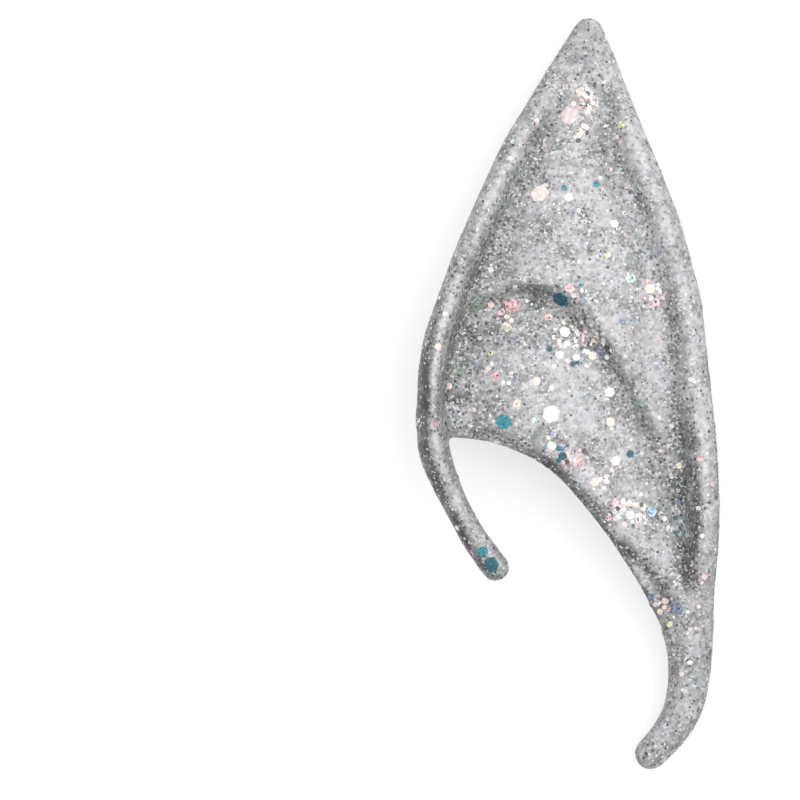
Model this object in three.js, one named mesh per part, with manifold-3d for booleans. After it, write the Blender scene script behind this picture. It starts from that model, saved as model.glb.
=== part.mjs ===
// Elf ear tip: a pointed, hollow latex ear that slips over the top of the wearer's own ear.
// Millimetres, +Z up. It lies on its back: +Y runs from the tail to the point, and +X from the front hook
// to the outer rim. It is cast and trimmed in one piece, so it is one solid.
import * as THREE from "three";
import { mergeVertices } from "three/addons/utils/BufferGeometryUtils.js";
import Module from "manifold-3d";

const { lerp, clamp, smoothstep, degToRad } = THREE.MathUtils;

// Driving sizes
const earLength = 125; // tail end to point
const earWidth = 50; // hook side to outer rim
const earDepth = 19; // back of the pocket to the top of the rim beside the hook
const wall = 1.4; // latex wall
const rimRadius = 2.2; // rolled outer rim
const hookRimRadius = 1.9; // rolled rim on the hook side
const foldRidge = 0.7; // height of the inner fold's crest above the panel
const foldDrop = 2.9; // step down from the crest into the bowl
const foldWidth = 3.1; // half width of the crest, and the width of the step
const bowlReach = 14; // how far the bowl rises again beyond the fold
const lipDrop = 0.9; // how far the front rolls down at the mouth's trimmed edge
const lipWidth = 2.4; // width of that roll

// How finely the surfaces are faceted
const stationStep = 1.6; // between two sections of the shell
const cavityStep = 2.4; // between two sections of the cavity
const panelSteps = 6; // between two shape points on the panel
const rimSteps = 3; // between two on the outside of a rim
const flankSteps = 2; // between two on a rim's inner flank, on the back, or in the cavity
const capSteps = 4; // rings on a round end
const hookSides = 16;
const hookSteps = 22;
const edgeSteps = 30; // along each trimmed edge
const foldSteps = 120; // along the inner fold's crest

// How far the cuts run past the surfaces, and how far they swing clear of the tail
const clearance = 5;
const cutLeadOut = 12;

// The rims narrow with the section, to these shares of its half width. The grooves lie this many rim
// radii inside the edge. Where the side wall flares it starts lower, and the rim beside it is narrower.
const hookRollLimit = 0.21;
const outerRollLimit = 0.18;
const tailRollLimit = 0.32; // for the outer rim below the mouth, where it becomes the tail
const hookGrooveRolls = 3;
const outerGrooveRolls = 2.9;
const flareDrop = 2;
const flareNarrowing = 0.55;

// A rim's inner side: places between its crest, at 0, and the groove, at 1, across and down.
const shoulder = { across: 0.42, down: 0.12 };
const flank = { across: 0.74, down: 0.62 };

const grooveWalls = 1.5; // the wall under the grooves, in walls

// How far the sides lean in, in degrees, where the round end of the point starts
const pointTaper = 27;

// Sections of the shell, a row for each, from the tail's end to the point.
// along and across place the section's middle, as shares of the ear's length and width; half is its half
// width, as a share of the width; turn is its turn about Z in degrees. back, hookRim and outerRim are
// heights, and hookGroove, outerGroove and crown are depths and a rise, all as shares of the depth.
// flare is how far the side wall stands outside the hook-side rim, as a share of the width.
// oval is 1 where the section is a plain oval and 0 where it has rims and grooves.
const placeColumns = ["along", "across", "half", "turn"];
const heightColumns = ["back", "hookRim", "outerRim", "hookGroove", "outerGroove", "crown"];
const columns = [...placeColumns, ...heightColumns, "flare", "oval"];
const sections = [
  [0.022, 0.778, 0.054, 50, 0,     0.29,  0.29,  0,     0,     0,     0,     1],
  [0.04,  0.82,  0.057, 41, 0.005, 0.305, 0.305, 0,     0,     0,     0,     1],
  [0.062, 0.861, 0.061, 28, 0.02,  0.34,  0.34,  0,     0,     0,     0,     1],
  [0.09,  0.89,  0.066, 14, 0.045, 0.385, 0.385, 0,     0,     0,     0,     1],
  [0.124, 0.903, 0.07,  3,  0.08,  0.44,  0.44,  0,     0,     0,     0,     1],
  [0.176, 0.9,   0.083, 0,  0.12,  0.5,   0.56,  0.02,  0.01,  0,     0,     0.75],
  [0.229, 0.863, 0.121, 0,  0.135, 0.54,  0.65,  0.02,  0.05,  0.01,  0,     0.3],
  [0.282, 0.79,  0.203, 0,  0.12,  0.6,   0.72,  0.02,  0.145, 0.04,  0,     0],
  [0.334, 0.68,  0.32,  0,  0.08,  0.7,   0.765, 0.05,  0.225, 0.06,  0.005, 0],
  [0.387, 0.568, 0.429, 0,  0.03,  0.85,  0.79,  0.15,  0.205, 0.085, 0.015, 0],
  [0.44,  0.499, 0.49,  0,  0,     0.97,  0.805, 0.24,  0.18,  0.105, 0.026, 0],
  [0.492, 0.488, 0.487, 0,  0,     1,     0.81,  0.265, 0.15,  0.115, 0.026, 0],
  [0.571, 0.488, 0.466, 0,  0.015, 0.96,  0.8,   0.255, 0.13,  0.115, 0.014, 0],
  [0.624, 0.503, 0.436, 0,  0.04,  0.905, 0.775, 0.24,  0.125, 0.11,  0.003, 0],
  [0.676, 0.51,  0.397, 0,  0.065, 0.845, 0.74,  0.22,  0.125, 0.1,   0,     0],
  [0.729, 0.519, 0.351, 0,  0.08,  0.775, 0.69,  0.195, 0.135, 0.09,  0,     0],
  [0.782, 0.524, 0.297, 0,  0.085, 0.69,  0.63,  0.15,  0.135, 0.075, 0,     0],
  [0.834, 0.529, 0.239, 0,  0.075, 0.59,  0.555, 0.12,  0.12,  0.06,  0,     0.05],
  [0.887, 0.542, 0.173, 0,  0.05,  0.475, 0.455, 0.08,  0.08,  0.04,  0,     0.2],
  [0.939, 0.557, 0.109, 0,  0.02,  0.345, 0.34,  0.035, 0.035, 0.015, 0,     0.6],
  [0.988, 0.572, 0.045, 0,  0,     0.225, 0.225, 0,     0,     0,     0,     1],
];

// The cavity runs from this share of the length, beside the tail, to that share, near the point.
const cavityFrom = 0.225;
const cavityTo = 0.9;

// The crest of the inner fold, from under the hook-side rim over its top and down to the outer groove.
// height is the fold's strength there.
const foldCrest = [
  { across: 0.055, along: 0.598, height: 0.6 },
  { across: 0.17, along: 0.63, height: 0.9 },
  { across: 0.27, along: 0.643, height: 1 },
  { across: 0.4, along: 0.648, height: 1.05 },
  { across: 0.545, along: 0.617, height: 1 },
  { across: 0.67, along: 0.553, height: 0.8 },
  { across: 0.775, along: 0.475, height: 0.65 },
  { across: 0.85, along: 0.395, height: 0.35 },
  { across: 0.88, along: 0.325, height: 0 },
];

// The trimmed edge of the mouth, from the corner under the hook to the tail. frontEdge is cut through
// both walls, and lip is how strongly the front rolls down to it. backEdge is cut through the back wall
// alone, where it leaves room for the wearer's ear.
const frontEdge = [
  { across: 0.105, along: 0.443, lip: 0.7 },
  { across: 0.27, along: 0.432, lip: 1 },
  { across: 0.435, along: 0.4, lip: 1 },
  { across: 0.587, along: 0.334, lip: 1 },
  { across: 0.725, along: 0.255, lip: 0.6 },
  { across: 0.808, along: 0.188, lip: 0.1 },
  { across: 0.833, along: 0.15, lip: 0 },
];
const backEdge = [
  { across: 0.0, along: 0.452 },
  { across: 0.2, along: 0.468 },
  { across: 0.4, along: 0.462 },
  { across: 0.62, along: 0.4 },
  { across: 0.76, along: 0.3 },
  { across: 0.815, along: 0.215 },
  { across: 0.8, along: 0.16 },
];
const backCutHeight = 0.42; // how far up the back edge's cut reaches, as a share of the depth

// The hook: middle and half width in plan, and its middle height and half height as shares of the depth.
const hookRows = [
  { across: 0.05, along: 0.5, half: 0.03, height: 0.76, tall: 0.19 },
  { across: 0.05, along: 0.464, half: 0.043, height: 0.7, tall: 0.27 },
  { across: 0.0535, along: 0.439, half: 0.0515, height: 0.7, tall: 0.268 },
  { across: 0.066, along: 0.414, half: 0.052, height: 0.69, tall: 0.225 },
  { across: 0.095, along: 0.383, half: 0.047, height: 0.67, tall: 0.17 },
  { across: 0.143, along: 0.343, half: 0.042, height: 0.64, tall: 0.137 },
  { across: 0.202, along: 0.302, half: 0.045, height: 0.6, tall: 0.124 },
  { across: 0.262, along: 0.27, half: 0.047, height: 0.55, tall: 0.122 },
];

// A surface of rings of equal count, closed by a pole at each end. Rings turn clockwise about their course.
function closedLoft(rings, startPole, endPole) {
  const count = rings[0].length;
  const vertices = [...rings.flat(), startPole, endPole];
  const start = vertices.length - 2;
  const end = vertices.length - 1;
  const lastRing = (rings.length - 1) * count;
  const faces = [];
  for (let j = 0; j < count; j++) {
    const k = (j + 1) % count;
    faces.push(start, k, j);
    faces.push(lastRing + j, lastRing + k, end);
    for (let i = 0; i < rings.length - 1; i++) {
      const a = i * count;
      const b = a + count;
      faces.push(a + j, a + k, b + j);
      faces.push(a + k, b + k, b + j);
    }
  }
  const geometry = new THREE.BufferGeometry().setFromPoints(vertices);
  geometry.setIndex(faces);
  return geometry;
}

function middleOf(points) {
  const sum = points.reduce((total, point) => total.add(point), new THREE.Vector3());
  return sum.divideScalar(points.length);
}

// The table's row at any share of the length.
const sectionPlaces = sections.map((row) => row[0]);
const sectionTable = new THREE.CubicInterpolant(sectionPlaces, sections.flat(), columns.length);

function sectionAt(along) {
  const values = sectionTable.evaluate(along);
  return Object.fromEntries(columns.map((name, i) => [name, values[i]]));
}

// A section's places across it and its levels, in millimetres.
function sizesOf(row) {
  const half = row.half * earWidth;
  const flare = row.flare * earWidth;
  const hookTop = row.hookRim * earDepth;
  const outerTop = row.outerRim * earDepth;
  const hookRoll = Math.min(hookRimRadius, hookRollLimit * half) - flareNarrowing * flare;
  const outerLimit = row.along < frontEdge[0].along ? tailRollLimit : outerRollLimit;
  const outerRoll = Math.min(rimRadius, outerLimit * half);
  return {
    half,
    hookTop,
    outerTop,
    back: row.back * earDepth,
    hookRimAt: -half + flare + hookRoll,
    outerRimAt: half - outerRoll,
    hookGrooveAt: -half + flare + hookGrooveRolls * hookRoll,
    outerGrooveAt: half - outerGrooveRolls * outerRoll,
    hookSide: hookTop - hookRoll - flareDrop * flare,
    outerSide: outerTop - outerRoll,
    hookGroove: hookTop - row.hookGroove * earDepth,
    outerGroove: outerTop - row.outerGroove * earDepth,
    crown: row.crown * earDepth,
  };
}

// A place on the panel, at a share of the way between the two grooves, with the crown as a low arch.
function onPanel(sizes, share) {
  const rise = 4 * share * (1 - share) * sizes.crown;
  return {
    x: lerp(sizes.hookGrooveAt, sizes.outerGrooveAt, share),
    y: lerp(sizes.hookGroove, sizes.outerGroove, share) + rise,
  };
}

// The shell's shape points: over the hook-side rim, the groove, the panel, the other groove and the outer
// rim, then back along the rounded back. x runs across the section and y up. angle is a point's place on
// an oval section, relief its share of the fold and the lip, and steps the facets up to the next point.
function shellShape(sizes) {
  const { half, back, hookSide, outerSide, hookRimAt, outerRimAt, hookTop, outerTop } = sizes;
  const inHook = (place) => ({
    x: lerp(hookRimAt, sizes.hookGrooveAt, place.across),
    y: lerp(hookTop, sizes.hookGroove, place.down),
  });
  const inOuter = (place) => ({
    x: lerp(outerRimAt, sizes.outerGrooveAt, place.across),
    y: lerp(outerTop, sizes.outerGroove, place.down),
  });
  return [
    { x: -half, y: hookSide, angle: 180, relief: 0, steps: rimSteps },
    { x: hookRimAt, y: hookTop, angle: 154, relief: 0, steps: flankSteps },
    { ...inHook(shoulder), angle: 144, relief: 0, steps: flankSteps },
    { ...inHook(flank), angle: 134, relief: 0, steps: flankSteps },
    { ...onPanel(sizes, 0), angle: 122, relief: 1, steps: panelSteps },
    { ...onPanel(sizes, 0.27), angle: 105, relief: 1, steps: panelSteps },
    { ...onPanel(sizes, 0.52), angle: 90, relief: 1, steps: panelSteps },
    { ...onPanel(sizes, 0.76), angle: 75, relief: 1, steps: panelSteps },
    { ...onPanel(sizes, 1), angle: 58, relief: 1, steps: flankSteps },
    { ...inOuter(flank), angle: 46, relief: 0, steps: flankSteps },
    { ...inOuter(shoulder), angle: 36, relief: 0, steps: flankSteps },
    { x: outerRimAt, y: outerTop, angle: 26, relief: 0, steps: rimSteps },
    { x: half, y: outerSide, angle: 0, relief: 0, steps: rimSteps },
    { x: 0.84 * half, y: lerp(back, outerSide, 0.5), angle: -40, relief: 0, steps: flankSteps },
    { x: 0.4 * half, y: lerp(back, outerSide, 0.14), angle: -70, relief: 0, steps: flankSteps },
    { x: -0.25 * half, y: back, angle: -100, relief: 0, steps: rimSteps },
    { x: -0.82 * half, y: lerp(back, hookSide, 0.26), angle: -140, relief: 0, steps: rimSteps },
  ];
}

// The cavity's shape points, in the same order, a wall inside the shell. They pass under the rims, which
// are full beads.
function cavityShape(sizes) {
  const { half, back, hookSide, outerSide } = sizes;
  const underPanel = (share, walls) => {
    const place = onPanel(sizes, share);
    return { x: place.x, y: place.y - walls * wall, relief: 1, steps: flankSteps };
  };
  const onBack = { relief: 0, steps: flankSteps };
  return [
    { ...onBack, x: -0.93 * half + wall, y: lerp(back, hookSide, 0.66), angle: 180 },
    { ...underPanel(0, grooveWalls), angle: 135 },
    { ...underPanel(0.27, 1), angle: 110 },
    { ...underPanel(0.52, 1), angle: 90 },
    { ...underPanel(0.76, 1), angle: 70 },
    { ...underPanel(1, grooveWalls), angle: 45 },
    { ...onBack, x: 0.9 * half - wall, y: lerp(back, outerSide, 0.66), angle: 0 },
    { ...onBack, x: 0.6 * half - wall / 2, y: lerp(back, outerSide, 0.28) + wall, angle: -45 },
    { ...onBack, x: -0.2 * half, y: back + wall, angle: -95 },
    { ...onBack, x: -0.68 * half + wall / 2, y: lerp(back, hookSide, 0.18) + wall, angle: -140 },
  ];
}

const inPlan = ({ across, along }, up = 0) =>
  new THREE.Vector3(across * earWidth, along * earLength, up);

// The fold's crest and the mouth's edge in plan, sampled, with the fold's and the lip's strength in z.
const foldSamples = new THREE.CatmullRomCurve3(
  foldCrest.map((point) => inPlan(point, point.height)),
).getPoints(foldSteps);
const edgeSamples = new THREE.CatmullRomCurve3(
  frontEdge.map((point) => inPlan(point, point.lip)),
  false,
  "centripetal",
).getPoints(edgeSteps);

// The sample nearest to a place in plan, and how far the place lies to the right of the samples' course.
function besideCurve(samples, x, y) {
  let nearest = 0;
  let distance = Infinity;
  samples.forEach((sample, i) => {
    const gap = Math.hypot(sample.x - x, sample.y - y);
    if (gap < distance) {
      distance = gap;
      nearest = i;
    }
  });
  const sample = samples[nearest];
  const before = samples[Math.max(nearest - 1, 0)];
  const after = samples[Math.min(nearest + 1, samples.length - 1)];
  const turn = (after.x - before.x) * (y - sample.y) - (after.y - before.y) * (x - sample.x);
  return { sample, right: turn < 0 ? distance : -distance };
}

// How far the fold lifts or lowers the front at a place in plan. Inside the wall the low part reaches an
// inset further both ways, and the crest isn't followed.
function foldRelief(x, y, inset) {
  const { sample, right } = besideCurve(foldSamples, x, y);
  const crest = inset > 0 ? 0 : foldRidge * Math.exp(-((right / foldWidth) ** 2));
  const drop =
    smoothstep(right + inset, 0, foldWidth) *
    (1 - smoothstep(right - inset, foldWidth, foldWidth + bowlReach));
  return sample.z * (crest - foldDrop * drop);
}

// How far the front rolls down towards the mouth's edge at a place in plan.
function lipRelief(x, y, inset) {
  const { sample, right } = besideCurve(edgeSamples, x, y);
  return -lipDrop * sample.z * (1 - smoothstep(-right - inset, 0, lipWidth));
}

// One section's outline across and up, sampled, with the fold and the lip on it. inset is how far it lies
// inside the shell.
function outlineOf(row, shapeOf, inset) {
  const sizes = sizesOf(row);
  const middle = (sizes.hookTop + sizes.outerTop + 2 * sizes.back) / 4;
  const shape = shapeOf(sizes);
  const points = shape.map((point) => {
    const angle = degToRad(point.angle);
    const oval = {
      x: (sizes.half - inset) * Math.cos(angle),
      y: middle + (middle - sizes.back - inset) * Math.sin(angle),
    };
    return new THREE.Vector3(
      lerp(point.x, oval.x, row.oval),
      lerp(point.y, oval.y, row.oval),
      point.relief * (1 - row.oval),
    );
  });
  const curve = new THREE.CatmullRomCurve3(points, true, "centripetal");
  return shape.flatMap(({ steps }, i) =>
    Array.from({ length: steps }, (_, step) => {
      const point = curve.getPoint((i + step / steps) / shape.length);
      const spot = placed(row, point);
      const relief = foldRelief(spot.x, spot.y, inset) + lipRelief(spot.x, spot.y, inset);
      point.y += clamp(point.z, 0, 1) * relief;
      return point;
    }),
  );
}

// A section's point, given across it and up, in the ear's own space.
function placed(row, point) {
  const turn = degToRad(row.turn);
  return new THREE.Vector3(
    row.across * earWidth + point.x * Math.cos(turn),
    row.along * earLength - point.x * Math.sin(turn),
    point.y,
  );
}

const shellRing = (row) => outlineOf(row, shellShape, 0).map((point) => placed(row, point));
const cavityRing = (row) => outlineOf(row, cavityShape, wall).map((point) => placed(row, point));

// The rings that round off an oval end section, which heads in direction (1 towards the point). taper is
// how far its sides lean in already, in degrees.
function roundEnd(row, direction, taper) {
  const start = degToRad(taper);
  const radius = (row.half * earWidth) / Math.cos(start);
  const middle = (row.back + row.hookRim) / 2;
  const turn = degToRad(row.turn);
  const rowAt = (angle) => {
    const reach = direction * radius * (Math.sin(angle) - Math.sin(start));
    const share = Math.cos(angle) / Math.cos(start);
    return {
      ...row,
      across: row.across + (Math.sin(turn) * reach) / earWidth,
      along: row.along + (Math.cos(turn) * reach) / earLength,
      half: row.half * share,
      back: lerp(middle, row.back, share),
      hookRim: lerp(middle, row.hookRim, share),
      outerRim: lerp(middle, row.outerRim, share),
    };
  };
  const angles = Array.from({ length: capSteps }, (_, i) =>
    lerp(start, Math.PI / 2, (i + 1) / (capSteps + 1)),
  );
  return {
    rings: angles.map((angle) => shellRing(rowAt(angle))),
    pole: middleOf(shellRing(rowAt(Math.PI / 2))),
  };
}

// The rows of evenly spaced sections between two shares of the length, about step apart.
function stations(from, to, step) {
  const count = Math.ceil(((to - from) * earLength) / step);
  return Array.from({ length: count + 1 }, (_, i) => sectionAt(from + ((to - from) * i) / count));
}

function shellGeometry() {
  const rows = stations(sectionPlaces[0], sectionPlaces[sections.length - 1], stationStep);
  const rings = rows.map(shellRing);
  const tail = roundEnd(rows[0], -1, 0);
  const tip = roundEnd(rows[rows.length - 1], 1, pointTaper);
  return closedLoft([...tail.rings.reverse(), ...rings, ...tip.rings], tail.pole, tip.pole);
}

function cavityGeometry() {
  const rings = stations(cavityFrom, cavityTo, cavityStep).map(cavityRing);
  return closedLoft(rings, middleOf(rings[0]), middleOf(rings[rings.length - 1]));
}

// The hook, oval rings along its course with a round end. It starts inside the hook-side rim's bead.
function hookGeometry() {
  const places = new THREE.CatmullRomCurve3(
    hookRows.map((row) => inPlan(row, row.height * earDepth)),
    false,
    "centripetal",
  );
  const spread = new THREE.CatmullRomCurve3(
    hookRows.map((row) => new THREE.Vector3(row.half * earWidth, row.tall * earDepth, 0)),
    false,
    "centripetal",
  );
  const ring = (t, shrink, shift) => {
    const middle = places.getPoint(t);
    const course = places.getTangent(t);
    const side = new THREE.Vector3(-course.y, course.x, 0).normalize();
    const size = spread.getPoint(t).multiplyScalar(shrink);
    return Array.from({ length: hookSides }, (_, i) => {
      const angle = (i / hookSides) * 2 * Math.PI;
      return middle
        .clone()
        .addScaledVector(course, shift)
        .addScaledVector(side, size.x * Math.cos(angle))
        .add(new THREE.Vector3(0, 0, size.y * Math.sin(angle)));
    });
  };
  const rings = Array.from({ length: hookSteps + 1 }, (_, i) => ring(i / hookSteps, 1, 0));
  const reach = spread.getPoint(1).x;
  for (let i = 1; i <= capSteps; i++) {
    const angle = (i / (capSteps + 1)) * (Math.PI / 2);
    rings.push(ring(1, Math.cos(angle), reach * Math.sin(angle)));
  }
  const end = places.getPoint(1).addScaledVector(places.getTangent(1), reach);
  return closedLoft(rings, middleOf(rings[0]), end);
}

// A straight cut through everything on the mouth's side of an edge, between two heights. Past its ends the
// cut leaves the ear squarely on the hook side and short of the tail.
function cutterGeometry(edge, low, high) {
  const curve = new THREE.CatmullRomCurve3(edge.map((point) => inPlan(point)), false, "centripetal");
  const outline = curve.getPoints(edgeSteps).map((point) => new THREE.Vector2(point.x, point.y));
  const last = outline[outline.length - 1];
  outline.push(new THREE.Vector2(last.x - cutLeadOut, last.y - clearance));
  outline.push(new THREE.Vector2(-clearance, last.y - clearance));
  outline.push(new THREE.Vector2(-clearance, outline[0].y));
  const cutter = new THREE.ExtrudeGeometry(new THREE.Shape(outline), {
    depth: high - low,
    bevelEnabled: false,
  });
  return cutter.translate(0, 0, low);
}

const wasm = await Module();
wasm.setup();

function solidOf(geometry) {
  const bare = new THREE.BufferGeometry();
  const source = geometry.index ? geometry.toNonIndexed() : geometry;
  bare.setAttribute("position", source.getAttribute("position"));
  const merged = mergeVertices(bare, 1e-4);
  return new wasm.Manifold(
    new wasm.Mesh({
      numProp: 3,
      vertProperties: merged.attributes.position.array,
      triVerts: new Uint32Array(merged.index.array),
    }),
  );
}

function geometryOf(solid) {
  const mesh = solid.getMesh();
  const geometry = new THREE.BufferGeometry();
  geometry.setAttribute("position", new THREE.BufferAttribute(mesh.vertProperties, 3));
  geometry.setIndex(new THREE.BufferAttribute(mesh.triVerts, 1));
  geometry.computeVertexNormals();
  return geometry;
}

const latex = new THREE.MeshStandardMaterial({ color: 0xb4b3b6, roughness: 0.35, metalness: 0.45 });

const shell = solidOf(shellGeometry())
  .subtract(solidOf(cavityGeometry()))
  .subtract(solidOf(cutterGeometry(frontEdge, -clearance, earDepth + clearance)))
  .subtract(solidOf(cutterGeometry(backEdge, -clearance, backCutHeight * earDepth)))
  .add(solidOf(hookGeometry()));

const earTip = new THREE.Mesh(geometryOf(shell), latex);
earTip.name = "ear_tip";

// The origin is under the middle of the ear, on the surface that it lies on.
const box = new THREE.Box3().setFromObject(earTip);
const middle = box.getCenter(new THREE.Vector3());
earTip.position.set(-middle.x, -middle.y, -box.min.z);

const ear = new THREE.Group();
ear.add(earTip);

export default ear;
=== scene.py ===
import math
import random

import bpy
from mathutils import Matrix, Vector
from mathutils.bvhtree import BVHTree


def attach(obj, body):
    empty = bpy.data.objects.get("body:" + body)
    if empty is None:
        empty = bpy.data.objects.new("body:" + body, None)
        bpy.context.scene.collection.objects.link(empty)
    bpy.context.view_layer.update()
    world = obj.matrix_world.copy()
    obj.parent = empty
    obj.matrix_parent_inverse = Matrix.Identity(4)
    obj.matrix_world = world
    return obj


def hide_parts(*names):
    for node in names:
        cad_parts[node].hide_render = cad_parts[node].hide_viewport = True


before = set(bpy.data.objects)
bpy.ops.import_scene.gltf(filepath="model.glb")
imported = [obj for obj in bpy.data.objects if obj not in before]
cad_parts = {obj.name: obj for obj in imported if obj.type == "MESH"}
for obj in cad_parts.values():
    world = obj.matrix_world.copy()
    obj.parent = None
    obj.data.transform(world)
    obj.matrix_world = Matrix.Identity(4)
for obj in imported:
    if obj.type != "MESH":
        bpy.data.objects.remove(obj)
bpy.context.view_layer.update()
print("loaded the moulded ear")

random.seed(17)
mm = 0.001
bodyName = "root"
leastSquare = 1e-12     # keeps a division by an edge's length from failing


# Small helpers

def rowsOf(columns, table):
    return [dict(zip(columns, row)) for row in table]


def clamped(value):
    return min(max(value, 0), 1)


def pickOnly(thing):
    bpy.ops.object.select_all(action="DESELECT")
    bpy.context.view_layer.objects.active = thing
    thing.select_set(True)


def applyModifier(thing, kind, **settings):
    pickOnly(thing)
    modifier = thing.modifiers.new(kind.lower(), kind)
    for name, value in settings.items():
        setattr(modifier, name, value)
    bpy.ops.object.modifier_apply(modifier=modifier.name)


def addNode(tree, kind, **settings):
    node = tree.nodes.new(kind)
    for name, value in settings.items():
        setattr(node, name, value)
    return node


def feed(tree, sockets, values):
    for socket, value in zip(sockets, values):
        if isinstance(value, (int, float, tuple)):
            socket.default_value = value
        else:
            tree.links.new(value, socket)


def mathNode(tree, operation, first, second):
    node = addNode(tree, "ShaderNodeMath", operation=operation)
    feed(tree, node.inputs, (first, second))
    return node.outputs[0]


def vectorMath(tree, operation, first, second):
    node = addNode(tree, "ShaderNodeVectorMath", operation=operation)
    feed(tree, node.inputs, (first, second))
    return node.outputs[0]


def scaleVector(tree, vector, factor):
    node = addNode(tree, "ShaderNodeVectorMath", operation="SCALE")
    feed(tree, (node.inputs[0], node.inputs["Scale"]), (vector, factor))
    return node.outputs[0]


def mixColours(tree, share, first, second, blend="MIX"):
    node = addNode(tree, "ShaderNodeMix", data_type="RGBA", blend_type=blend, clamp_factor=True)
    feed(tree, (node.inputs[0], node.inputs[6], node.inputs[7]), (share, first, second))
    return node.outputs[2]


def noiseOver(tree, place, scale, detail=2):
    node = addNode(tree, "ShaderNodeTexNoise")
    node.inputs["Scale"].default_value = scale
    node.inputs["Detail"].default_value = detail
    tree.links.new(place, node.inputs["Vector"])
    return node.outputs["Fac"]


def markOf(tree, name):
    return addNode(tree, "ShaderNodeAttribute", attribute_name=name).outputs["Fac"]


def mapRange(tree, value, source, target):
    node = addNode(tree, "ShaderNodeMapRange", clamp=True)
    for socket, number in zip(node.inputs[1:5], (*source, *target)):
        socket.default_value = number
    tree.links.new(value, node.inputs["Value"])
    return node.outputs[0]


def rampNode(tree, factor, stops):
    node = addNode(tree, "ShaderNodeValToRGB")
    band = node.color_ramp
    while len(band.elements) < len(stops):
        band.elements.new(0.5)
    for element, (place, colour) in zip(band.elements, stops):
        element.position = place
        element.color = (*colour, 1)
    tree.links.new(factor, node.inputs[0])
    return node.outputs[0]


def grey(level):
    return (level, level, level)


# Glitter grain: a field of small cells, each with its own shade, tint and tilt

def makeGrainGroup():
    group = bpy.data.node_groups.new("glitterGrain", "ShaderNodeTree")
    group.interface.new_socket("Vector", in_out="INPUT", socket_type="NodeSocketVector")
    for name in ("Scale", "Tilt"):
        group.interface.new_socket(name, in_out="INPUT", socket_type="NodeSocketFloat")
    for name in ("Shade", "Pick", "Hue", "Nearness"):
        group.interface.new_socket(name, in_out="OUTPUT", socket_type="NodeSocketFloat")
    group.interface.new_socket("Normal", in_out="OUTPUT", socket_type="NodeSocketVector")
    source = group.nodes.new("NodeGroupInput")
    result = group.nodes.new("NodeGroupOutput")
    cells = addNode(group, "ShaderNodeTexVoronoi", feature="F1", voronoi_dimensions="3D")
    group.links.new(source.outputs["Vector"], cells.inputs["Vector"])
    group.links.new(source.outputs["Scale"], cells.inputs["Scale"])
    parts = addNode(group, "ShaderNodeSeparateColor")
    group.links.new(cells.outputs["Color"], parts.inputs[0])
    for name, part in (("Shade", 0), ("Pick", 1), ("Hue", 2)):
        group.links.new(parts.outputs[part], result.inputs[name])
    group.links.new(cells.outputs["Distance"], result.inputs["Nearness"])
    lean = vectorMath(group, "SUBTRACT", cells.outputs["Color"], grey(0.5))
    lean = scaleVector(group, lean, source.outputs["Tilt"])
    surface = addNode(group, "ShaderNodeNewGeometry")
    leaning = vectorMath(group, "ADD", surface.outputs["Normal"], lean)
    unit = addNode(group, "ShaderNodeVectorMath", operation="NORMALIZE")
    group.links.new(leaning, unit.inputs[0])
    group.links.new(unit.outputs[0], result.inputs["Normal"])
    return group


grainGroup = makeGrainGroup()

latexFinish = {
    "grainScale": 2700,     # cells to a metre
    "grainTilt": 0.35,
    "tint": 0.6,            # how strongly the grain is tinted
    "milkScale": 240,       # of the milky patches, where the latex over the glitter is thick
    "milkDetail": 4,
    "milkBand": (0.4, 0.58),    # the part of the noise where the milk goes from least to most
    "milkLeast": 0.2,
    "milkMost": 0.9,
    # a painted highlight along the rim crests: its share here, its colour two lines down
    "rimHighlightShare": 0.6,
    "milk": (0.515, 0.506, 0.522),
    "rimHighlightColour": (0.63, 0.62, 0.635),
    "milkLossInShade": 0.85,       # how far the milk is missing where the painted shade is, in the grooves and on the steep sides
    # Painted shade in the grooves and on the steep sides
    "grooveShadeStrength": 0.4,      # how strong the painted shade is in a groove, and on a steep side
    "sideShadeStrength": 0.85,
    "shadeBand": (0.62, 0.38),
    "shadePatches": (0.6, 1.3),  # the painted shade's least and most from patch to patch
    # the colour of the painted shade
    "shadeColour": (0.2, 0.19, 0.185),
    "shadeDimming": 0.68,        # painted shade over all the glitter there
    "speckShow": (0.65, 1.9),   # how strongly the specks show in open places, and in the painted shade of the grooves
    "mottleScale": 1000,    # of the fine change from light to dark
    "mottleBand": (0.35, 0.65),
    "mottleRange": (0.8, 1.15),
    "metallic": 0.1,
    "roughness": 0.38,
    "gel": 0.3,             # the wet shine of open places
    "gelRoughness": 0.32,
    "plainLatex": (0.33, 0.325, 0.33),
}

# Shades and tints of the fine grain, from near black to white
grainShades = [
    (0.0, grey(0.03)),
    (0.15, grey(0.12)),
    (0.4, grey(0.24)),
    (0.7, grey(0.35)),
    (0.88, grey(0.56)),
    (1.0, grey(0.9)),
]
grainTints = [
    (0.0, (1.0, 0.84, 0.86)),
    (0.25, (1.0, 0.97, 0.9)),
    (0.5, (0.9, 1.0, 0.96)),
    (0.75, (0.88, 0.93, 1.0)),
    (1.0, (0.96, 0.9, 1.0)),
]
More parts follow.
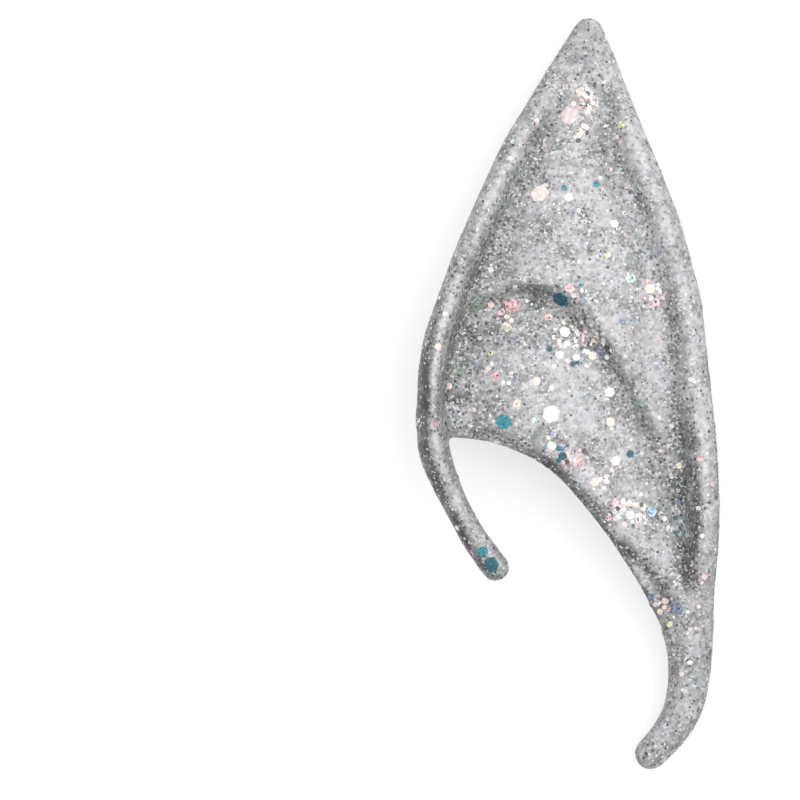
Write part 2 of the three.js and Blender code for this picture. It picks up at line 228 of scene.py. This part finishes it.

# Glitter of other sizes among the grain: cells to a metre, the share of them that shows, how far one
# reaches in its cell, how soft its edge is, how strong it is, and its turn against the grain.
# The first lies deepest, under the painted highlight on the rims
glitterColumns = ("kind", "scale", "share", "reach", "soft", "strength", "turn")
glitterSizes = rowsOf(glitterColumns, [
    ("buried", 480, 0.45, 0.5, 0.22, 0.5, 0.9),
    ("clump", 720, 0.36, 0.55, 0.3, 0.6, 1.7),
    ("pale", 1350, 0.26, 0.4, 0.12, 0.5, 0.4),
    ("dark", 1500, 0.4, 0.46, 0.2, 0.8, 1.3),
    # white specks, partly white glitter and partly painted glints
    ("bright", 2500, 0.11, 0.38, 0.08, 0.55, 2.1),
])
glitterTurn = (0.7, 0.2)    # about the other two axes
glitterColours = {
    "buried": [
        (0.0, (0.32, 0.37, 0.32)),
        (0.2, (0.38, 0.43, 0.5)),
        (0.4, (0.6, 0.6, 0.64)),
        (0.62, (0.24, 0.225, 0.21)),
        (0.85, (0.55, 0.46, 0.47)),
    ],
    "clump": [
        (0.0, (0.19, 0.165, 0.14)),
        (0.4, (0.24, 0.25, 0.26)),
        (0.75, (0.15, 0.2, 0.165)),
    ],
    "pale": [
        (0.0, (0.88, 0.62, 0.62)),
        (0.16, (0.8, 0.8, 0.82)),
        (0.5, (0.52, 0.52, 0.54)),
        (0.66, (0.62, 0.78, 0.7)),
        (0.76, (0.56, 0.56, 0.8)),
        (0.86, (0.85, 0.8, 0.66)),
    ],
    "dark": [
        (0.0, (0.05, 0.05, 0.055)),
        (0.5, (0.1, 0.1, 0.11)),
        (0.85, (0.05, 0.11, 0.13)),
    ],
    # white glitter and painted glints
    "bright": [
        (0.0, (1.0, 1.0, 1.0)),
        (0.6, (0.95, 0.9, 0.9)),
        (0.85, (0.85, 0.92, 1.0)),
    ],
}


def glitterOver(tree, place, beneath, size, show):
    turned = addNode(tree, "ShaderNodeMapping")
    turned.inputs["Rotation"].default_value = (size["turn"], *glitterTurn)
    tree.links.new(place, turned.inputs["Vector"])
    cells = addNode(tree, "ShaderNodeGroup", node_tree=grainGroup)
    cells.inputs["Scale"].default_value = size["scale"]
    tree.links.new(turned.outputs[0], cells.inputs["Vector"])
    chosen = mathNode(tree, "LESS_THAN", cells.outputs["Pick"], size["share"])
    rim = (size["reach"] - size["soft"], size["reach"])
    near = mapRange(tree, cells.outputs["Nearness"], rim, (size["strength"], 0))
    shown = mathNode(tree, "MULTIPLY", mathNode(tree, "MULTIPLY", chosen, near), show)
    colours = rampNode(tree, cells.outputs["Hue"], glitterColours[size["kind"]])
    return mixColours(tree, shown, beneath, colours)


def makeLatexMaterial(values):
    material = bpy.data.materials.new("glitterLatex")
    material.use_nodes = True
    tree = material.node_tree
    shader = tree.nodes["Principled BSDF"]
    place = addNode(tree, "ShaderNodeTexCoord").outputs["Object"]

    # Fine grain, in greys from near black to white with a faint tint
    grain = addNode(tree, "ShaderNodeGroup", node_tree=grainGroup)
    grain.inputs["Scale"].default_value = values["grainScale"]
    grain.inputs["Tilt"].default_value = values["grainTilt"]
    tree.links.new(place, grain.inputs["Vector"])
    shades = rampNode(tree, grain.outputs["Shade"], grainShades)
    tints = rampNode(tree, grain.outputs["Hue"], grainTints)
    colour = mixColours(tree, values["tint"], shades, tints, "MULTIPLY")

    # Painted shade in the grooves and on the steep sides, darker in patches
    patches = noiseOver(tree, place, values["milkScale"], values["milkDetail"])
    grooveShade = markOf(tree, "grooveShade")
    sideShade = markOf(tree, "sideShade")
    shadeMask = mathNode(tree, "MAXIMUM", grooveShade, sideShade)
    patchyShade = mapRange(tree, patches, values["shadeBand"], values["shadePatches"])
    grooveShading = mathNode(tree, "MULTIPLY", grooveShade, values["grooveShadeStrength"])
    sideShading = mathNode(tree, "MULTIPLY", sideShade, values["sideShadeStrength"])
    paintedShade = mathNode(tree, "MULTIPLY", mathNode(tree, "MAXIMUM", grooveShading, sideShading), patchyShade)
    # the specks show more strongly in the painted shade
    show = mapRange(tree, shadeMask, (0, 1), values["speckShow"])

    # Milky patches, thinner in the painted shade, and a painted highlight in a milky colour along the rim
    # crests
    milk = mapRange(tree, patches, values["milkBand"], (values["milkLeast"], values["milkMost"]))
    milk = mathNode(tree, "MULTIPLY", milk, mapRange(tree, shadeMask, (0, 1), (1, 1 - values["milkLossInShade"])))
    rimHighlight = mathNode(tree, "MULTIPLY", markOf(tree, "crestHighlight"), values["rimHighlightShare"])
    colour = mixColours(tree, milk, colour, (*values["milk"], 1))
    buried, *nearer = glitterSizes
    colour = glitterOver(tree, place, colour, buried, 1)
    colour = mixColours(tree, rimHighlight, colour, (*values["rimHighlightColour"], 1))
    mottle = noiseOver(tree, place, values["mottleScale"])
    colour = scaleVector(tree, colour, mapRange(tree, mottle, values["mottleBand"], values["mottleRange"]))
    # painted shade over the milk and the buried glitter
    colour = mixColours(tree, paintedShade, colour, (*values["shadeColour"], 1), "MULTIPLY")
    for size in nearer:
        colour = glitterOver(tree, place, colour, size, show)
    # painted shade over the specks too
    colour = mixColours(tree, paintedShade, colour, (*grey(values["shadeDimming"]), 1), "MULTIPLY")

    # Plain latex inside the hollow
    colour = mixColours(tree, markOf(tree, "inside"), colour, (*values["plainLatex"], 1))
    tree.links.new(colour, shader.inputs["Base Color"])
    shader.inputs["Metallic"].default_value = values["metallic"]
    shader.inputs["Roughness"].default_value = values["roughness"]
    gel = mapRange(tree, shadeMask, (0, 1), (values["gel"], 0))
    tree.links.new(gel, shader.inputs["Coat Weight"])
    shader.inputs["Coat Roughness"].default_value = values["gelRoughness"]
    tree.links.new(grain.outputs["Normal"], shader.inputs["Normal"])
    return material


# The latex skin, reworked from the moulded shell

skinShape = {
    "weld": 0.002 * mm,
    "voxel": 0.45 * mm,
    "smoothing": 0.5,
    "smoothPasses": 8,
    "lumpHeight": 0.16 * mm,
    "lumpSize": 3.2 * mm,
    # Openness: the share of rays from a point that meet nothing
    "rays": 20,
    "rayLift": 0.5,         # where a ray starts above the skin, in voxels
    "rayReach": 30 * mm,
    "openInside": 0.35,     # under this share a point is inside the hollow
    "openGroove": 0.5,      # at this share a point is deep in a groove, and at the next quite open
    "openPanel": 0.92,
    "openSide": (0.75, 0.95),   # where a side's painted shade begins, and where it is full
    # Steep sides, which get painted shade
    "levelTop": 0.92,       # the normal's share towards the light where a side starts to count as steep, and where it is wholly steep
    "steepSide": 0.45,      # and where it is wholly steep
    "towardsLight": (0.35, 0.3, 1),   # the way towards the light; leans away from the hook and the mouth, whose sides get the darkest painted shade
    "towardsLightOnTail": (0.12, 0.35, 1),
    "tailBand": (-42 * mm, -28 * mm),   # where the one lean turns into the other
    "tailSide": 0.45,           # how much of a side's painted shade is left on the tail
    "paleSide": 0.3,            # and how much towards the point, along this band
    "paleBand": (4 * mm, 20 * mm),
    # Bends, in turns of the normal to a metre
    "rimBend": 380,         # of a rim's crest
    "creaseBend": -400,
    "bendPasses": 6,
    # The part of the outer groove with lighter painted shade, beside the bowl
    "paleGroove": 0.55,         # how much of the groove's painted shade is left there
    "paleGrooveFrom": (6 * mm, -6 * mm),   # its lower corner, across and along
    "paleGrooveFade": 6 * mm,
}


def makeSkin(values):
    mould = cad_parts["ear_tip"].data.copy()
    skin = bpy.data.objects.new("glitterSkin", mould)
    bpy.context.collection.objects.link(skin)
    mould.materials.clear()
    pickOnly(skin)
    bpy.ops.object.mode_set(mode="EDIT")
    bpy.ops.mesh.select_all(action="SELECT")
    bpy.ops.mesh.remove_doubles(threshold=values["weld"])
    bpy.ops.object.mode_set(mode="OBJECT")
    applyModifier(skin, "REMESH", mode="VOXEL", voxel_size=values["voxel"])
    applyModifier(skin, "SMOOTH", factor=values["smoothing"], iterations=values["smoothPasses"])
    lumps = bpy.data.textures.new("lumps", "CLOUDS")
    lumps.noise_scale = values["lumpSize"]
    applyModifier(
        skin,
        "DISPLACE",
        texture=lumps,
        strength=values["lumpHeight"],
        mid_level=0.5,
        texture_coords="LOCAL",
    )
    bpy.ops.object.shade_smooth()
    print("skin of", len(skin.data.polygons), "faces")
    return skin


def bendsOf(skin, passes):
    vertices = skin.data.vertices
    near = [[] for _ in vertices]
    for edge in skin.data.edges:
        first, second = edge.vertices
        near[first].append(second)
        near[second].append(first)
    bends = []
    for vertex in vertices:
        turns = []
        for other in near[vertex.index]:
            way = vertices[other].co - vertex.co
            turn = (vertices[other].normal - vertex.normal).dot(way)
            turns.append(turn / max(way.length_squared, leastSquare))
        bends.append(sum(turns) / max(len(turns), 1))
    for _ in range(passes):
        bends = [
            (own + sum(bends[other] for other in others)) / (1 + len(others))
            for own, others in zip(bends, near)
        ]
    return bends


# Spots of painted shade on the front, in the grooves and under the fold's crest: across and along, and how
# far each reaches, in mm
shadeSpotColumns = ("x", "y", "wide", "long", "strength")
shadeSpots = rowsOf(shadeSpotColumns, [
    (3.4, 54.6, 2.2, 5.0, 0.5),
    (-3.2, 46.5, 2.0, 4.0, 0.4),
    (-4.8, 39.5, 1.7, 4.0, 0.5),
    (-8.0, 33.0, 1.7, 4.5, 0.55),
    (-11.2, 26.5, 2.0, 4.5, 0.6),
    (7.0, 38.0, 2.2, 7.0, 0.5),
    (-16.0, 20.5, 4.2, 5.0, 0.65),
    (-19.5, -3.5, 3.2, 6.0, 0.65),
    (-6.4, -7.6, 3.4, 1.6, 0.7),
    (-13.5, -6.3, 4.5, 1.4, 0.8),
    (10.6, -0.4, 2.2, 6.0, 0.5),
    (14.4, -11.6, 3.0, 4.0, 0.75),
    (15.5, -20.0, 3.0, 4.0, 0.4),
    (18.3, -17.5, 2.6, 6.5, 1.0),
    (-4.5, 16.9, 5.0, 1.5, 0.9),
    (16.9, -1.6, 1.5, 5.0, 0.5),
    (12.6, 26.0, 1.6, 6.0, 0.3),
    (17.6, -42.0, 1.8, 4.0, 0.4),
    (14.4, -60.6, 4.2, 2.6, 1.0),
])


def shadeSpotAt(place):
    most = 0
    for row in shadeSpots:
        across = (place.x / mm - row["x"]) / row["wide"]
        along = (place.y / mm - row["y"]) / row["long"]
        most = max(most, row["strength"] * math.exp(-across * across - along * along))
    return most


def rayFan(count):
    golden = math.pi * (3 - math.sqrt(5))
    fan = []
    for i in range(count):
        height = math.sqrt((i + 0.5) / count)
        radius = math.sqrt(1 - height * height)
        fan.append((radius * math.cos(i * golden), radius * math.sin(i * golden), height))
    return fan


def opennessOf(skin, tree, values):
    fan = rayFan(values["rays"])
    openness = []
    for vertex in skin.data.vertices:
        turn = vertex.normal.to_track_quat("Z", "X")
        start = vertex.co + vertex.normal * values["voxel"] * values["rayLift"]
        free = 0
        for ray in fan:
            if tree.ray_cast(start, turn @ Vector(ray), values["rayReach"])[0] is None:
                free += 1
        openness.append(free / values["rays"])
    return openness


def markSkin(skin, values):
    tree = BVHTree.FromObject(skin, bpy.context.evaluated_depsgraph_get())
    openness = opennessOf(skin, tree, values)
    bends = bendsOf(skin, values["bendPasses"])
    inside, grooveShade, sideShade, crestHighlight = [
        skin.data.attributes.new(name, "FLOAT", "POINT") for name in ("inside", "grooveShade", "sideShade", "crestHighlight")
    ]
    openSpan = values["openPanel"] - values["openGroove"]
    steepSpan = values["levelTop"] - values["steepSide"]
    sideClosed, sideOpen = values["openSide"]
    paleFrom, paleTo = values["paleBand"]
    paleAcross, paleAlong = values["paleGrooveFrom"]
    tailEnd, tailTop = values["tailBand"]
    for vertex, share, bend in zip(skin.data.vertices, openness, bends):
        deep = (values["openPanel"] - share) / openSpan
        above = clamped((vertex.co.y - tailEnd) / (tailTop - tailEnd))
        towardsLight = Vector(values["towardsLightOnTail"]).lerp(Vector(values["towardsLight"]), above).normalized()
        steep = (values["levelTop"] - vertex.normal.dot(towardsLight)) / steepSpan
        outward = clamped((share - sideClosed) / (sideOpen - sideClosed))
        beyond = min(vertex.co.x - paleAcross, vertex.co.y - paleAlong) / values["paleGrooveFade"]
        pale = 1 + (values["paleGroove"] - 1) * clamped(beyond)
        groove = max(deep, bend / values["creaseBend"]) * pale
        if vertex.normal.x < 0:     # the painted shade on the outer rim's inner wall is lighter there too
            outward *= pale * pale
        # painted shade: spots on the up-facing front, joined with the grooves' painted shade
        shadeSpot = shadeSpotAt(vertex.co) if vertex.normal.z > 0 else 0
        grooveShade.data[vertex.index].value = clamped(max(groove, shadeSpot))
        towardsPoint = clamped((vertex.co.y - paleFrom) / (paleTo - paleFrom))
        outward *= 1 + (values["paleSide"] - 1) * towardsPoint + (values["tailSide"] - 1) * (1 - above)
        # painted shade on the steep sides that face away from the light
        sideShade.data[vertex.index].value = clamped(steep) * outward
        # painted highlight on the up-facing rim crests
        crestHighlight.data[vertex.index].value = clamped(bend / values["rimBend"]) * max(vertex.normal.z, 0)
        inside.data[vertex.index].value = 1.0 if share < values["openInside"] else 0.0
    return tree


skin = makeSkin(skinShape)
skinTree = markSkin(skin, skinShape)
skin.data.materials.append(makeLatexMaterial(latexFinish))
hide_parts("ear_tip")
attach(skin, bodyName)
print("marked the inside, the grooves and the rims")


# Glitter flakes on the latex, thin six-sided plates

flakeFinish = {
    "metallic": 0.3,
    "roughness": 0.35,
    "gel": 0.3,
    "castScale": 1500,      # of the change of shade on a flake and from flake to flake
    "castBand": (0.35, 0.65),
    "castRange": (0.72, 1.22),
    "facetScale": 3600,     # of the small facets on a flake, some of them nearly black
    "facetRange": (0.6, 1.22),
    "speckShare": 0.06,
    "speckColour": (0.06, 0.06, 0.065),
    "calm": 0.25,           # how much of that contrast the plain pale flakes have
    "calmColours": ("ivory", "palePink", "white", "peach"),
}

flakeColours = {
    "silver": (0.54, 0.54, 0.56),
    "white": (0.88, 0.83, 0.81),
    "ivory": (0.84, 0.76, 0.7),
    "dark": (0.1, 0.1, 0.105),
    "pink": (0.78, 0.5, 0.53),
    "palePink": (0.76, 0.62, 0.64),
    "peach": (0.82, 0.64, 0.56),
    "cream": (0.82, 0.77, 0.63),
    "mint": (0.56, 0.72, 0.66),
    "teal": (0.03, 0.27, 0.33),
    "deepTeal": (0.015, 0.13, 0.18),
    "moss": (0.3, 0.38, 0.31),
    "slate": (0.2, 0.26, 0.36),
    "lilac": (0.46, 0.43, 0.6),
    "sky": (0.42, 0.55, 0.7),
    "lemon": (0.78, 0.8, 0.5),
}


def makeShimmerGroup(values):
    group = bpy.data.node_groups.new("flakeShimmer", "ShaderNodeTree")
    group.interface.new_socket("Vector", in_out="INPUT", socket_type="NodeSocketVector")
    group.interface.new_socket("Color", in_out="INPUT", socket_type="NodeSocketColor")
    group.interface.new_socket("Contrast", in_out="INPUT", socket_type="NodeSocketFloat")
    group.interface.new_socket("Color", in_out="OUTPUT", socket_type="NodeSocketColor")
    source = group.nodes.new("NodeGroupInput")
    result = group.nodes.new("NodeGroupOutput")
    cast = noiseOver(group, source.outputs["Vector"], values["castScale"])
    level = mapRange(group, cast, values["castBand"], values["castRange"])
    cells = addNode(group, "ShaderNodeTexVoronoi", feature="F1", voronoi_dimensions="3D")
    cells.inputs["Scale"].default_value = values["facetScale"]
    group.links.new(source.outputs["Vector"], cells.inputs["Vector"])
    parts = addNode(group, "ShaderNodeSeparateColor")
    group.links.new(cells.outputs["Color"], parts.inputs[0])
    facets = mapRange(group, parts.outputs[1], (0, 1), values["facetRange"])
    swing = mathNode(group, "SUBTRACT", mathNode(group, "MULTIPLY", level, facets), 1)
    calmed = mathNode(group, "MULTIPLY", swing, source.outputs["Contrast"])
    lit = scaleVector(group, source.outputs["Color"], mathNode(group, "ADD", calmed, 1))
    isSpeck = mathNode(group, "LESS_THAN", parts.outputs[0], values["speckShare"])
    darkened = mathNode(group, "MULTIPLY", isSpeck, source.outputs["Contrast"])
    specked = mixColours(group, darkened, lit, (*values["speckColour"], 1))
    group.links.new(specked, result.inputs[0])
    return group


shimmerGroup = makeShimmerGroup(flakeFinish)


def makeFlakeMaterial(name, colour, values):
    material = bpy.data.materials.new(name + "Flake")
    material.use_nodes = True
    tree = material.node_tree
    shader = tree.nodes["Principled BSDF"]
    shimmer = addNode(tree, "ShaderNodeGroup", node_tree=shimmerGroup)
    shimmer.inputs["Color"].default_value = (*colour, 1)
    shimmer.inputs["Contrast"].default_value = values["calm"] if name in values["calmColours"] else 1
    tree.links.new(addNode(tree, "ShaderNodeTexCoord").outputs["Object"], shimmer.inputs["Vector"])
    tree.links.new(shimmer.outputs[0], shader.inputs["Base Color"])
    shader.inputs["Metallic"].default_value = values["metallic"]
    shader.inputs["Roughness"].default_value = values["roughness"]
    shader.inputs["Coat Weight"].default_value = values["gel"]
    return material


flakeMaterials = {
    name: makeFlakeMaterial(name, colour, flakeFinish) for name, colour in flakeColours.items()
}

# Shares of the colours in a kind of flake or in a cluster
smallShares = {"silver": 34, "white": 12, "dark": 34, "palePink": 7, "cream": 4, "mint": 3, "lilac": 2}
largeShares = {"silver": 40, "white": 14, "palePink": 14, "ivory": 12, "mint": 5, "teal": 1, "lilac": 3}
rosyShares = {"pink": 16, "palePink": 26, "white": 24, "ivory": 14, "peach": 8, "dark": 8, "mint": 4}
tealShares = {"deepTeal": 34, "teal": 12, "slate": 20, "dark": 12, "white": 10, "palePink": 12}

# Small flakes: how many there are, how wide and thick in mm, and how far they tip out of the skin
scatteredFlakes = [
    {"count": 1900, "width": (0.3, 0.55), "tip": 12, "thick": 0.04, "shares": smallShares},
    {"count": 200, "width": (0.7, 1.1), "tip": 7, "thick": 0.06, "shares": largeShares},
]
clusteredFlakes = {"width": (0.45, 1.05), "tip": 8, "thick": 0.05}

# Places where coloured flakes lie close together: across, along and how far they reach, in mm
clusterColumns = ("x", "y", "reach", "count", "shares")
flakeClusters = rowsOf(clusterColumns, [
    (3.4, 9.4, 2.6, 30, rosyShares),
    (6.0, 6.6, 2.0, 14, tealShares),
    (1.4, 5.8, 1.8, 10, tealShares),
    (-9.6, 14.6, 2.6, 22, rosyShares),
    (0.6, 16.2, 2.2, 16, tealShares),
    (-1.0, 9.0, 4.5, 22, rosyShares),
    (-12.0, 2.6, 2.4, 10, rosyShares),
    (0.8, -10.4, 2.6, 30, rosyShares),
    (-1.0, -10.0, 1.5, 10, tealShares),
    (5.6, -14.4, 1.8, 12, rosyShares),
    (9.0, -19.4, 2.6, 30, rosyShares),
    (12.5, -19.8, 2.0, 12, rosyShares),
    (3.4, 49.0, 2.6, 34, rosyShares),
    (2.4, 43.2, 1.8, 9, rosyShares),
    (14.6, 16.0, 2.2, 18, rosyShares),
    (22.4, -30.2, 1.2, 8, rosyShares),
    (15.8, -35.2, 1.8, 12, rosyShares),
    (17.5, -22.0, 2.2, 10, tealShares),
    (-13.0, -27.4, 1.6, 16, tealShares),
])

# The flakes that stand out on the front: places across and along, and widths, in mm
plateColumns = ("colour", "x", "y", "width")
plateFlakes = rowsOf(plateColumns, [
    ("white", -2.8, -3.4, 3.1),
    ("teal", -10.6, -4.7, 2.7),
    ("deepTeal", -1.2, 15.4, 3.0),
    ("pink", -9.1, 14.5, 3.0),
    ("deepTeal", -12.5, -28.2, 2.9),
    ("teal", -14.0, -26.0, 1.9),
    ("palePink", 0.3, 45.8, 3.2),
    ("ivory", -4.6, 32.9, 3.2),
    ("lemon", 8.9, 44.2, 1.5),
    ("mint", 10.3, 19.0, 1.9),
    ("pink", 0.3, 17.2, 1.7),
    ("pink", 14.5, 14.9, 1.6),
    ("peach", 13.5, 17.2, 1.9),
    ("peach", 7.0, -4.7, 1.7),
    ("pink", -3.2, 12.6, 1.4),
    ("peach", -14.7, 39.2, 1.4),
    ("white", -0.5, 10.1, 1.9),
    ("peach", 4.1, 6.2, 1.6),
    ("white", 1.4, 5.9, 1.3),
    ("white", -1.4, 6.3, 1.5),
    ("white", 6.9, 0.2, 1.7),
    ("white", -2.7, -8.6, 1.7),
    ("white", 7.9, -11.1, 1.8),
    ("peach", 4.4, -14.6, 1.6),
    ("white", 10.3, -20.0, 1.6),
    ("white", 7.7, 27.9, 1.5),
    ("white", 0.2, 32.3, 1.5),
    ("cream", -10.1, 10.9, 1.9),
    ("lilac", 14.5, 4.7, 1.2),
    ("deepTeal", 10.3, -10.0, 1.4),
    ("teal", -0.5, 33.8, 1.1),
    ("teal", 4.8, 34.5, 1.1),
    ("sky", 13.8, -19.5, 1.9),
    ("slate", 18.1, -35.5, 2.2),
    ("slate", 13.8, -33.6, 1.3),
    ("lemon", 16.9, -38.1, 1.2),
    ("lemon", 6.5, 22.8, 1.2),
    ("peach", 16.1, -34.2, 1.2),
    ("peach", 15.3, -36.0, 1.2),
    ("slate", 5.4, 6.5, 1.7),
    ("deepTeal", 0.8, 4.8, 1.0),
    ("deepTeal", -3.0, 7.3, 1.1),
    ("deepTeal", -0.9, -10.3, 1.5),
    ("pink", 1.6, -11.3, 2.0),
    ("pink", 21.7, -10.8, 1.4),
    ("cream", 18.4, -11.9, 1.2),
    ("slate", 9.0, 11.7, 1.2),
    ("moss", 11.8, -1.9, 1.7),
    ("peach", -21.3, 7.6, 1.3),
    ("moss", -18.0, 3.5, 2.1),
    ("moss", -14.9, 14.5, 2.2),
    ("pink", -10.9, 13.4, 1.4),
    ("peach", -12.6, 14.6, 1.3),
    ("lilac", -9.1, 8.4, 1.0),
    ("lemon", -12.7, 6.5, 1.0),
    ("pink", -11.9, 2.7, 1.8),
    ("peach", -19.5, 1.2, 1.2),
    ("pink", -21.6, -5.2, 1.4),
    ("cream", -8.4, -1.7, 1.6),
    ("peach", -5.2, 2.0, 1.5),
    ("mint", -5.3, -4.5, 1.6),
    ("lilac", -2.5, -6.8, 1.2),
])

flakePlates = {
    "sides": 6,
    "lift": 0.02 * mm,      # of a flake's middle above the skin
    "narrowing": (0.75, 1),     # a flake's length as a share of its width
    "plateNarrowing": (0.85, 1),
    "cuts": 3,              # across a plate that follows the skin
    "plateThick": 0.09 * mm,
    "clearRound": 0.62,     # the reach round a plate that has no small flakes, in widths
    "fewerSunk": 0.6,       # how far flakes are missing in the grooves
    "castFrom": 0.03,       # the height that a place on the front is looked for from
}


def onPlate(place, values):
    for row in plateFlakes:
        reach = row["width"] * values["clearRound"]
        if math.hypot(place.x / mm - row["x"], place.y / mm - row["y"]) < reach:
            return True
    return False


def spotsOutside(skin, count, values):
    inside = skin.data.attributes["inside"].data
    grooveShade = skin.data.attributes["grooveShade"].data
    faces = []
    for face in skin.data.polygons:
        covered = face.normal.z > 0 and onPlate(face.center, values)
        if inside[face.vertices[0]].value < 0.5 and not covered:
            faces.append(face)
    weights = [face.area * (1 - values["fewerSunk"] * grooveShade[face.vertices[0]].value) for face in faces]
    picked = random.choices(faces, weights=weights, k=count)
    return [(face.center.copy(), face.normal.copy()) for face in picked]


def standingOn(place, normal, spin, tip, size):
    return (
        Matrix.Translation(place)
        @ normal.to_track_quat("Z", "X").to_matrix().to_4x4()
        @ Matrix.Rotation(spin, 4, "Z")
        @ Matrix.Rotation(tip, 4, "X")
        @ Matrix.Diagonal((*size, 1))
    )


def copyTo(pattern, matrix):
    copied = bpy.data.objects.new(pattern.name, pattern.data.copy())
    copied.matrix_world = matrix
    bpy.context.collection.objects.link(copied)
    return copied


def joinAll(things, name):
    bpy.ops.object.select_all(action="DESELECT")
    for thing in things:
        thing.select_set(True)
    bpy.context.view_layer.objects.active = things[0]
    bpy.ops.object.join()
    bpy.ops.object.transform_apply(location=True, rotation=True, scale=True)
    things[0].name = name
    return things[0]


def finishFlakes(flakes, colour):
    flakes.data.materials.clear()
    flakes.data.materials.append(flakeMaterials[colour])
    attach(flakes, bodyName)


def spotOnFront(skinTree, x, y, values):
    start = Vector((x * mm, y * mm, values["castFrom"]))
    return skinTree.ray_cast(start, Vector((0, 0, -1)))[:2]


def smallFlake(pattern, place, normal, kind, values):
    width = random.uniform(*kind["width"]) * mm
    spin = random.uniform(0, math.pi)
    tip = math.radians(random.uniform(-kind["tip"], kind["tip"]))
    size = (width, width * random.uniform(*values["narrowing"]), kind["thick"] * mm)
    return copyTo(pattern, standingOn(place + normal * values["lift"], normal, spin, tip, size))


def scatterFlakes(skin, skinTree, values):
    bpy.ops.object.select_all(action="DESELECT")
    bpy.ops.mesh.primitive_cylinder_add(vertices=values["sides"], radius=0.5, depth=1)
    pattern = bpy.context.object
    groups = {}
    for kind in scatteredFlakes:
        shares = kind["shares"]
        colours = random.choices(list(shares), weights=shares.values(), k=kind["count"])
        for colour, (place, normal) in zip(colours, spotsOutside(skin, kind["count"], values)):
            groups.setdefault(colour, []).append(smallFlake(pattern, place, normal, kind, values))
    for row in flakeClusters:
        shares = row["shares"]
        for colour in random.choices(list(shares), weights=shares.values(), k=row["count"]):
            x = random.gauss(row["x"], row["reach"] / 2)
            y = random.gauss(row["y"], row["reach"] / 2)
            place, normal = spotOnFront(skinTree, x, y, values)
            if place is None or onPlate(place, values):
                continue
            groups.setdefault(colour, []).append(smallFlake(pattern, place, normal, clusteredFlakes, values))
    for colour, flakes in groups.items():
        finishFlakes(joinAll(flakes, colour + "Flakes"), colour)
    bpy.data.objects.remove(pattern)


def layPlates(skin, skinTree, values):
    bpy.ops.object.select_all(action="DESELECT")
    bpy.ops.mesh.primitive_circle_add(vertices=values["sides"], radius=0.5, fill_type="TRIFAN")
    pattern = bpy.context.object
    bpy.ops.object.mode_set(mode="EDIT")
    bpy.ops.mesh.subdivide(number_cuts=values["cuts"])
    bpy.ops.object.mode_set(mode="OBJECT")
    groups = {}
    for row in plateFlakes:
        place, normal = spotOnFront(skinTree, row["x"], row["y"], values)
        if place is None:
            print("no skin under a plate at", row["x"], row["y"])
            continue
        width = row["width"] * mm
        size = (width, width * random.uniform(*values["plateNarrowing"]), 1)
        matrix = standingOn(place, normal, random.uniform(0, math.pi), 0, size)
        groups.setdefault(row["colour"], []).append(copyTo(pattern, matrix))
    for colour, plates in groups.items():
        joined = joinAll(plates, colour + "Plates")
        applyModifier(joined, "SHRINKWRAP", target=skin, offset=values["lift"])
        applyModifier(joined, "SOLIDIFY", thickness=values["plateThick"], offset=1)
        finishFlakes(joined, colour)
    bpy.data.objects.remove(pattern)


scatterFlakes(skin, skinTree, flakePlates)
print("scattered the flakes")
layPlates(skin, skinTree, flakePlates)
print("laid the plates")


# Floor, light and camera

studio = {
    "floorSize": 4.0,
    "floorColour": 0.45,
    "floorGlow": 0.6,       # lifts the grey floor to white and keeps its shadow faint
    "floorRoughness": 0.9,
    "floorShine": 0.1,
    "skyAbove": 1.3,
    "skyLow": 0.4,
    "lampPlace": (0.7, 0.55, 1.6),
    "lampSize": 1.6,
    "lampPower": 12,
    "cameraHeight": 1.2,
    "frameWidth": 0.1317,   # what the picture spans at the height of the rims
    "frameLevel": 0.012,
    "frameMiddle": (-0.0276, -0.0011),
    "sensor": 36,
    "nearest": 0.01,
}


def makeFloor(values):
    bpy.ops.object.select_all(action="DESELECT")
    bpy.ops.mesh.primitive_plane_add(size=values["floorSize"])
    floor = bpy.context.object
    floor.name = "studioFloor"
    paper = bpy.data.materials.new("floorPaper")
    paper.use_nodes = True
    shader = paper.node_tree.nodes["Principled BSDF"]
    shader.inputs["Base Color"].default_value = (*grey(values["floorColour"]), 1)
    shader.inputs["Roughness"].default_value = values["floorRoughness"]
    shader.inputs["Specular IOR Level"].default_value = values["floorShine"]
    shader.inputs["Emission Color"].default_value = (1, 1, 1, 1)
    shader.inputs["Emission Strength"].default_value = values["floorGlow"]
    floor.data.materials.append(paper)


def makeSky(values):
    world = bpy.data.worlds.new("studioSky")
    world.use_nodes = True
    tree = world.node_tree
    ways = addNode(tree, "ShaderNodeSeparateXYZ")
    tree.links.new(addNode(tree, "ShaderNodeTexCoord").outputs["Generated"], ways.inputs[0])
    level = mapRange(tree, ways.outputs["Z"], (0, 1), (values["skyLow"], values["skyAbove"]))
    tree.links.new(level, tree.nodes["Background"].inputs["Strength"])
    tree.nodes["Background"].inputs["Color"].default_value = (1, 1, 1, 1)
    bpy.context.scene.world = world


def makeLamp(values):
    lamp = bpy.data.lights.new("softbox", "AREA")
    lamp.shape = "SQUARE"
    lamp.size = values["lampSize"]
    lamp.energy = values["lampPower"]
    box = bpy.data.objects.new("softbox", lamp)
    box.location = values["lampPlace"]
    box.rotation_euler = Vector(values["lampPlace"]).to_track_quat("Z", "Y").to_euler()
    bpy.context.collection.objects.link(box)


def makeCamera(values):
    camera = bpy.data.cameras.new("photoCamera")
    camera.sensor_width = values["sensor"]
    reach = values["cameraHeight"] - values["frameLevel"]
    camera.lens = values["sensor"] * reach / values["frameWidth"]
    camera.clip_start = values["nearest"]
    stand = bpy.data.objects.new("photoCamera", camera)
    stand.location = (*values["frameMiddle"], values["cameraHeight"])
    bpy.context.collection.objects.link(stand)
    bpy.context.scene.camera = stand


makeFloor(studio)
makeSky(studio)
makeLamp(studio)
makeCamera(studio)
bpy.context.scene.view_settings.view_transform = "Standard"
print("set the floor, the light and the camera")
